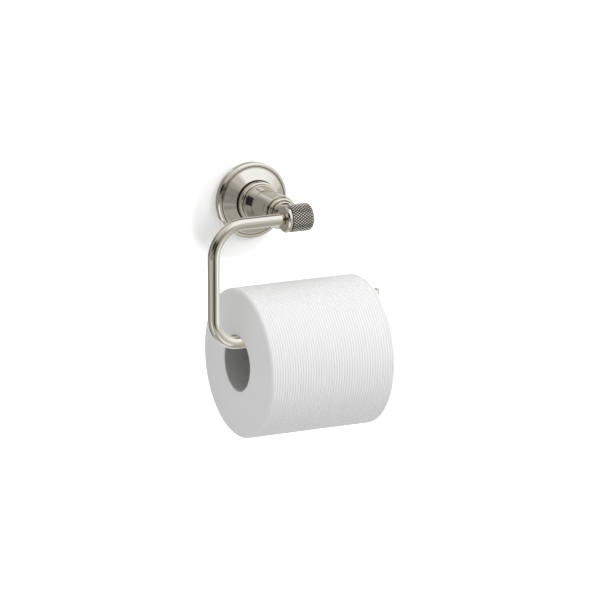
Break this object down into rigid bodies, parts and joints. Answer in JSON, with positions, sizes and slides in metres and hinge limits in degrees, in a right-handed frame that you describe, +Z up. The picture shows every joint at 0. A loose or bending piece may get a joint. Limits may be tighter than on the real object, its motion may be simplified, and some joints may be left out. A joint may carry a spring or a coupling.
{
  "type": "toilet paper holder",
  "caption": "Wall-mounted toilet paper holder: round turned flange and post, knurled barrel, and a swinging bent rod that carries a full paper roll.",
  "frame": {"origin": "centre of the wall bracket's back face, on the wall behind the flange", "axes": "+Z up, +X to the right along the wall as seen from the room, -Y out of the wall into the room; the arm swings about an axis along X"},
  "size_m": [0.1557, 0.141, 0.2095],
  "materials": {
    "polished_nickel": "polished nickel plate over turned brass, warm silver",
    "steel": "plain stainless steel fasteners",
    "bracket_steel": "zinc-plated steel plate, satin",
    "bare_brass": "machined brass",
    "nylon": "natural nylon",
    "cardboard": "pale grey board",
    "paper": "soft white ribbed tissue"
  },
  "bodies": {
    "mounting": {"wall_bracket": "bracket_steel", "flange": "polished_nickel", "set_screw": "steel", "base_ring": "polished_nickel", "post": "polished_nickel", "step_collar": "polished_nickel", "neck": "polished_nickel", "tie_rod": "steel", "tie_washer": "steel", "tie_nut": "steel", "barrel": "polished_nickel", "pivot_core": "bare_brass", "bush_left": "nylon", "bush_right": "nylon", "spring_washer": "steel", "end_cap": "polished_nickel"},
    "swing_arm": {"arm": "polished_nickel", "thrust_washer": "steel", "end_screw": "steel"},
    "roll": {"cardboard_core": "cardboard", "paper_roll": "paper"}
  },
  "joints": [
    {"name": "arm_swing", "type": "hinge", "parent": "mounting", "child": "swing_arm", "pos_m": [0, -0.079, 0], "axis": [-1, 0, 0], "range_deg": [-7, 90]},
    {"name": "roll_spin", "type": "hinge", "parent": "swing_arm", "child": "roll", "pos_m": [0.0053, -0.079, -0.1157], "axis": [-1, 0, 0], "continuous": true}
  ]
}
